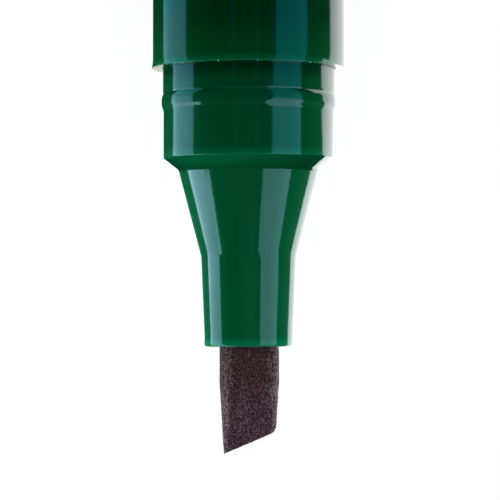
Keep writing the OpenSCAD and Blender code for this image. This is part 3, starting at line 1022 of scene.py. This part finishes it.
def make_clip():
    """Clip with a bump at its free end and a bevelled root that sinks into the cap. It is turned until its
    lower edge is level with the barrel's side."""
    front = clip_back_y - clip_len
    root_front = clip_back_y - clip_root
    bump_y, bump_at = front + 2 * clip_bump, clip_in + clip_bump / 3
    out = clip_in + clip_t
    thin_len = 3 * clip_t
    sunk = barrel_r - clip_sink
    fine_step, coarse_step, fine_end = 0.12, 1.0, front + 3.3
    back_round = 0.07

    def inner_at(y):
        depth = clip_bump ** 2 - (y - bump_y) ** 2
        return min(clip_in, bump_at - math.sqrt(depth)) if depth > 0 else clip_in

    def outer_at(y):
        if y < front + thin_len:
            share = (y - front) / thin_len
            return out - clip_t / 2 * (1 - share) ** 1.3
        bevel_from = clip_back_y - clip_root / 2
        return out - max(0.0, y - bevel_from) * clip_t / (clip_root / 2 + 1)

    stations = [front + step for step in (0.01, 0.05, 0.12, 0.22, 0.36, 0.55)]
    while stations[-1] < fine_end:
        stations.append(stations[-1] + fine_step)
    while stations[-1] < root_front - clip_fillet - 0.1:
        stations.append(min(stations[-1] + coarse_step, root_front - clip_fillet))
    loops = [clip_loop(y, inner_at(y), outer_at(y)) for y in stations]
    for turn in spaced(15, 90, 6):
        angle = math.radians(turn)
        y = root_front - clip_fillet * (1 - math.sin(angle))
        loops.append(clip_loop(y, clip_in - clip_fillet * (1 - math.cos(angle)), outer_at(y)))
    loops.append(clip_loop(root_front + 0.001, sunk, outer_at(root_front)))
    for y in (root_front + 0.3, root_front + clip_root / 2, clip_back_y - 1.2, clip_back_y - edge_break):
        loops.append(clip_loop(y, sunk, outer_at(y)))
    loops.append(clip_loop(clip_back_y - back_round, sunk, outer_at(clip_back_y) - back_round))
    loops.append(clip_loop(clip_back_y, sunk, outer_at(clip_back_y) - edge_break))
    mesh = loft(loops, "clip")
    reach = math.hypot(out, clip_half_w)
    turn = math.asin(barrel_r / reach) - math.atan2(clip_half_w, out)
    mesh.transform(Matrix.Rotation(turn, 4, "Y"))
    return tidy(mesh)


def slot_cutter(start, span=64.0, at=4.6, width=1.5):
    """Round-ended cutter for one air slot in the crown."""
    loops = []
    least_share = 0.004
    end_turn = math.degrees(width / 2 / at)
    along = Vector((0, 1, 0))
    inside, outside = along * (crown_floor_y - 1), along * (crown_y + 1)
    for share in spaced(0, 1, 21):
        near_end = min(share, 1 - share) * span / end_turn
        half = width / 2 * math.sqrt(max(1 - max(0.0, 1 - near_end) ** 2, least_share))
        angle = math.radians(start + span * share)
        across = Vector((math.cos(angle), 0, -math.sin(angle)))
        low, high = across * (at - half), across * (at + half)
        loops.append([low + inside, high + inside, high + outside, low + outside])
    return tidy(loft(loops, "slot"))


def make_cap():
    """Fluted cap with its clip, its air slots, a ring for the liner's stub and inner ribs."""
    stub_hole_r, ring_r, ring_y = stub_r + fit_gap, stub_r + stub_wall, liner_back_y + fit_gap
    near_ends = (-0.6, 0.0, flute_run / 2, flute_run, 1.0)
    grip = [flute_y + off for off in near_ends] + [flute_end_y - off for off in reversed(near_ends)]
    corners = [(cap_bore_r, cap_y, cap_mouth_break), (barrel_r, cap_y, edge_break)]
    corners += [(barrel_r, y, 0) for y in grip]
    corners += [(barrel_r, crown_y, crown_round), (0, crown_y, 0), (0, crown_floor_y, 0),
                (stub_hole_r, crown_floor_y, 0), (stub_hole_r, ring_y, inner_break),
                (ring_r, ring_y, inner_break), (ring_r, crown_floor_y, corner_break),
                (cap_body_r, crown_floor_y, wall_break),
                (cap_body_r, cap_step_y + cap_step_len, corner_break),
                (cap_bore_r, cap_step_y, corner_break)]

    def flute(x, y):
        start = fade(y, flute_y, flute_y + flute_run)
        end = fade(y, flute_end_y - flute_run, flute_end_y)
        return start * (1 - end) if x > barrel_r - 0.01 else 0.0

    sharp = math.radians(35)
    shell = turned(rounded(corners), plastic, segments=576, flute=flute)
    shell = cut(shell, make_clip(), "UNION")
    for start in (0, 120, 240):
        shell = cut(shell, slot_cutter(start), "DIFFERENCE")
    inner_ribs = ribs(plastic, cap_ribs, liner_r + fit_gap, cap_body_r + 0.1, rib_y, crown_floor_y + 0.05,
                      rib_w, start=math.pi / cap_ribs)
    mesh = smoothed(joined(tidy(shell, sharp), tidy(inner_ribs, sharp)), sharp)
    show(mesh, "cap_body", plastic, "cap", "green_plastic", "cap_shell")


def make_liner():
    """Soft inner cap with a stub that plugs into the crown."""
    points = rounded([(liner_bore_r, liner_y, wall_break), (liner_r, liner_y, wall_break),
                      (liner_r, liner_back_y, 0.3), (stub_r, liner_back_y, corner_break),
                      (stub_r, stub_y, corner_break), (0, stub_y, 0), (0, liner_floor_y, 0),
                      (liner_bore_r, liner_floor_y, 0.4)])
    mesh = turned(points, liner_plastic, segments=128)
    show(mesh, "cap_liner", liner_plastic, "cap", "natural_plastic", "inner_cap")


make_barrel()
make_nose()
make_nib()
make_rod()
make_film()
make_tail()
make_flash()
make_cap()
make_liner()


# Stage

def emission(nodes, strength, colour=(1, 1, 1, 1)):
    return nodes.out("ShaderNodeEmission", {"Color": colour, "Strength": strength})


def bare_nodes(owner):
    """Emptied nodes of a material or a world."""
    owner.use_nodes = True
    owner.node_tree.nodes.clear()
    return Nodes(owner.node_tree)


def stage_material(name):
    """Material with its nodes and the place that they light, as X, Y and Z."""
    material = bpy.data.materials.new(name)
    nodes = bare_nodes(material)
    return material, nodes, nodes.out("ShaderNodeTexCoord", output="Object").parts()


def lit(material, nodes, surface):
    """Material that ends in a surface."""
    nodes.add("ShaderNodeOutputMaterial", {"Surface": surface})
    return material


def seen_rays(nodes):
    """Rays by their kind, and whether the camera sees a place, straight or through something clear."""
    rays = nodes.outs("ShaderNodeLightPath")
    return rays, rays["Is Camera Ray"].greater(rays["Is Transmission Ray"])


def floor_glow(x, y):
    """Level of the floor's light on the colours. It is strongest under the nib."""
    nib_level, barrel_level, far_level = 6.1, 0.6, 0.8
    near = abs(x).ramp_mm(140, 60) * y.ramp_mm(-62, -42)
    return y.ramp_mm(-26, 18, nib_level, barrel_level) * near + far_level


def floor_gloss(x, y):
    """Level of the floor in the gloss: a bright strip on the right, which is wider beside the barrel, and
    one under the barrel."""
    front_edge, collar_edge, barrel_edge = 22 * MM, 37 * MM, 82 * MM
    front_level, barrel_level, dark_level = 4.7, 3.0, 0.004
    near_share, under_half_w, under_front_level = 0.58, 9.3, 0.06
    edge = y.ramp_mm(-16, 3, front_edge, collar_edge) + y.ramp_mm(8, 24, 0.0, barrel_edge - collar_edge)
    right = (x - edge).ramp_mm(1, -1) * y.ramp_mm(-36, -28) * x.ramp_mm(5, 24, near_share, 1.0) * (x > 0.0)
    strip = right * y.ramp_mm(-16, 0, front_level, barrel_level)
    under = (abs(x) < under_half_w * MM) * y.ramp_mm(-2.5, -0.5, under_front_level, 1.0)
    return (strip + dark_level).greater(under)


def white_floor():
    """White to the camera, with a faint shadow. The colours and the gloss have their own light from it."""
    material, nodes, (x, y, z) = stage_material("white_floor")
    rays, seen = seen_rays(nodes)
    shaded = nodes.out("ShaderNodeBsdfDiffuse", {"Color": (0.3, 0.3, 0.3, 1)})
    bright = nodes.out("ShaderNodeAddShader", {0: shaded, 1: emission(nodes, 0.93)})
    lighting = emission(nodes, floor_glow(x, y))
    glossy = emission(nodes, floor_gloss(x, y), (1.07, 0.965, 1, 1))
    mixed = nodes.out("ShaderNodeMixShader", {0: seen, 1: lighting, 2: bright})
    mixed = nodes.out("ShaderNodeMixShader", {0: rays["Is Glossy Ray"], 1: mixed, 2: glossy})
    return lit(material, nodes, mixed)


def card_glow(name, levels, colours, dim_z, bright_z, boost):
    """Glow of a reflector card, from its levels beside the barrel, the collar, the cone and the nozzle. The
    colours are for the nozzle, the barrel's front and the rest, and the level rises between two heights."""
    material, nodes, (x, y, z) = stage_material(name)
    barrel_level, collar_level, cone_level, nozzle_level = levels
    nozzle_colour, front_colour, back_colour = colours
    level = y.ramp_mm(-3, 2, collar_level, barrel_level)
    level = level + y.ramp_mm(-13, -8, cone_level - collar_level, 0.0)
    level = level + y.ramp_mm(-22, -18, nozzle_level - cone_level, 0.0)
    level = level * z.ramp_mm(dim_z, bright_z, 1.0, boost)
    colour = nodes.blend(y.ramp_mm(-14, 3), nozzle_colour, front_colour)
    colour = nodes.blend(y.ramp_mm(5, 10), colour, back_colour)
    return lit(material, nodes, emission(nodes, level, colour))


def plain_glow(name, level, colour):
    material, nodes = stage_material(name)[:2]
    return lit(material, nodes, emission(nodes, level, colour))


def make_card(name, points, material, faces=None, shades=False):
    """Card that only gloss sees. One that shades also lights the colours, and keeps the lamps off what is
    behind it."""
    card = scene_object(mesh_of(points, faces or [list(range(len(points)))], name), name)
    card.data.materials.append(material)
    for ray in ("camera", "transmission", "volume_scatter"):
        setattr(card, "visible_" + ray, False)
    card.visible_diffuse = shades
    card.visible_shadow = shades


def make_left_card():
    """The card stands on the floor, a little further off and higher beside the barrel."""
    x, top = -22.5, 8.0
    back_x, back_top = -25.8, 9.6
    front, bend, back = -90, -14, 160
    lower = [(x, front, floor_z), (x, bend, floor_z), (back_x, 0, floor_z), (back_x, back, floor_z)]
    upper = [(back_x, back, back_top), (back_x, 0, back_top), (x, bend, top), (x, front, top)]
    faces = [[i, i + 1, 6 - i, 7 - i] for i in range(3)]
    levels = (1.7, 2.55, 3.9, 3.3)
    colours = [(0.68, 0.93, 1.18, 1), (0.38, 0.9, 1.15, 1), (0.08, 0.9, 1.1, 1)]
    glow = card_glow("left_glow", levels, colours, dim_z=-3.5, bright_z=-6.5, boost=1.35)
    make_card("left_card", lower + upper, glow, faces)


def make_left_front_card():
    """Small card further off in front, which only the cone and the bead reflect."""
    x, low, high = -87, 12, 32
    front, back = -85, -40
    points = [(x, front, low), (x, back, low), (x, back, high), (x, front, high)]
    make_card("left_front_card", points, plain_glow("left_front_glow", 4.5, (0.6, 0.95, 1, 1)))


def make_right_card():
    """The card leans over the marker, and reaches further over it in front than beside the barrel."""
    lean, distance = math.radians(52.5), 90
    outer, front_outer, inner, front_inner = 28.3, 35.5, 35.5, 57.0
    front, front_bend, side_bend, bend, back = -90, -24, -2, 5, 160
    middle = Vector((math.sin(lean), 0, math.cos(lean))) * distance
    aside = Vector((math.cos(lean), 0, -math.sin(lean)))
    along = Vector((0, 1, 0))
    outline = [(-front_inner, front), (-inner, bend), (-inner, back), (outer, back), (outer, side_bend),
               (front_outer, front_bend), (front_outer, front)]
    points = [middle + aside * off + along * y for off, y in outline]
    levels = (1.05, 2.0, 2.15, 2.25)
    colours = [(0.61, 0.9, 1.05, 1), (0.1, 0.9, 1.05, 1), (0.05, 0.9, 1.05, 1)]
    glow = card_glow("right_glow", levels, colours, dim_z=60, bright_z=28, boost=1.3)
    make_card("right_card", points, glow)


def shade_glow():
    """Dark to gloss, and a soft light on the colours that falls off from left to right."""
    material, nodes, (x, y, z) = stage_material("shade_glow")
    left_level, right_level, dark_level = 0.8, 0.38, 0.004
    rays = nodes.outs("ShaderNodeLightPath")
    soft = x.ramp_mm(-collar_r, collar_r, left_level, right_level)
    level = rays["Is Glossy Ray"] * (dark_level - soft) + soft
    return lit(material, nodes, emission(nodes, level))


def make_shoulder_shade():
    """Sheet close over the shoulder. It keeps the bright floor out of the shoulder's gloss, apart from the
    shoulder's right end, and leaves a thin bright line along the upper edge that ends on the right."""
    gap, overlap, lead = 0.12, 0.14, 0.12
    left_turn, right_turn, steps = -95, 64, 39
    line_end, line_gone = 25, 43
    slope = Vector((collar_r - cone_r, shoulder_y - cone_y)).normalized()
    off = Vector((slope.y, -slope.x)) * gap
    outer = Vector((collar_r, shoulder_y)) + off
    inner = Vector((cone_r, cone_y)) + off - slope * overlap
    points = []
    for turn in spaced(left_turn, right_turn, steps + 1):
        upper = outer - slope * lead * (1 - fade(turn, line_end, line_gone))
        angle = math.radians(turn)
        points += [(end.x * math.sin(angle), end.y, end.x * math.cos(angle)) for end in (upper, inner)]
    faces = [[2 * i, 2 * i + 1, 2 * i + 3, 2 * i + 2] for i in range(steps)]
    make_card("shoulder_shade", points, shade_glow(), faces, shades=True)


def make_lamp(name, place, width, length, power):
    """Soft lamp overhead that lights the colours but doesn't show in the gloss."""
    light = bpy.data.lights.new(name, "AREA")
    light.shape = "RECTANGLE"
    light.size = width * MM
    light.size_y = length * MM
    light.energy = power
    lamp = scene_object(light, name)
    lamp.location = Vector(place) * MM
    lamp.visible_glossy = False
    lamp.visible_camera = False


def make_world():
    """White to the camera, dim to the colours, and to gloss dark with soft bands."""
    world = bpy.data.worlds.new("studio")
    bpy.context.scene.world = world
    nodes = bare_nodes(world)
    ambient, dark_level = 0.14, 0.008
    front_level, back_level, streak_level = 0.8, 0.5, 0.09
    rays, seen = seen_rays(nodes)
    glossy = rays["Is Glossy Ray"]
    x, y, z = nodes.out("ShaderNodeTexCoord", output="Generated").parts()
    raised = z.ramp(0.05, 0.12)
    front = (y * -1.0).ramp(0.72, 0.85) * raised
    back = y.ramp(0.72, 0.85) * raised
    left_streak = x.ramp(-0.4, -0.34) * x.ramp(-0.24, -0.32)
    right_streak = x.ramp(0.08, 0.14) * x.ramp(0.26, 0.18)
    overhead = (left_streak + right_streak) * z.ramp(0.6, 0.9)
    gloss = front * front_level + dark_level + back * back_level + overhead * streak_level
    level = glossy * (gloss - ambient) + ambient
    level = level * (1.0 - seen) + seen
    colour = nodes.blend(glossy, (1, 1, 1, 1), (0.35, 0.9, 1, 1))
    background = nodes.out("ShaderNodeBackground", {"Color": colour, "Strength": level})
    nodes.add("ShaderNodeOutputWorld", {"Surface": background})


def make_stage():
    half = 3000
    corners = [(x * half, y * half, floor_z) for x, y in ((-1, -1), (1, -1), (1, 1), (-1, 1))]
    floor = scene_object(mesh_of(corners, [[0, 1, 2, 3]], "floor"), "floor")
    floor.data.materials.append(white_floor())
    make_left_card()
    make_left_front_card()
    make_right_card()
    make_shoulder_shade()
    make_lamp("nib_lamp", (0, -22, 30), width=16, length=16, power=0.0035)
    make_lamp("body_lamp", (0, 84, 38), width=25, length=76, power=0.013)
    make_world()


def make_camera():
    data = bpy.data.cameras.new("camera")
    data.sensor_width = 36
    data.lens = 193.5
    data.clip_start = 0.005
    data.clip_end = 20
    camera = scene_object(data, "camera")
    place, target = Vector((0.07, -20.7, 230)), Vector((0.07, -15.55, 0))
    camera.location = place * MM
    camera.rotation_euler = (target - place).to_track_quat("-Z", "Y").to_euler()
    bpy.context.scene.camera = camera


make_stage()
make_camera()
bpy.context.scene.view_settings.view_transform = "Standard"
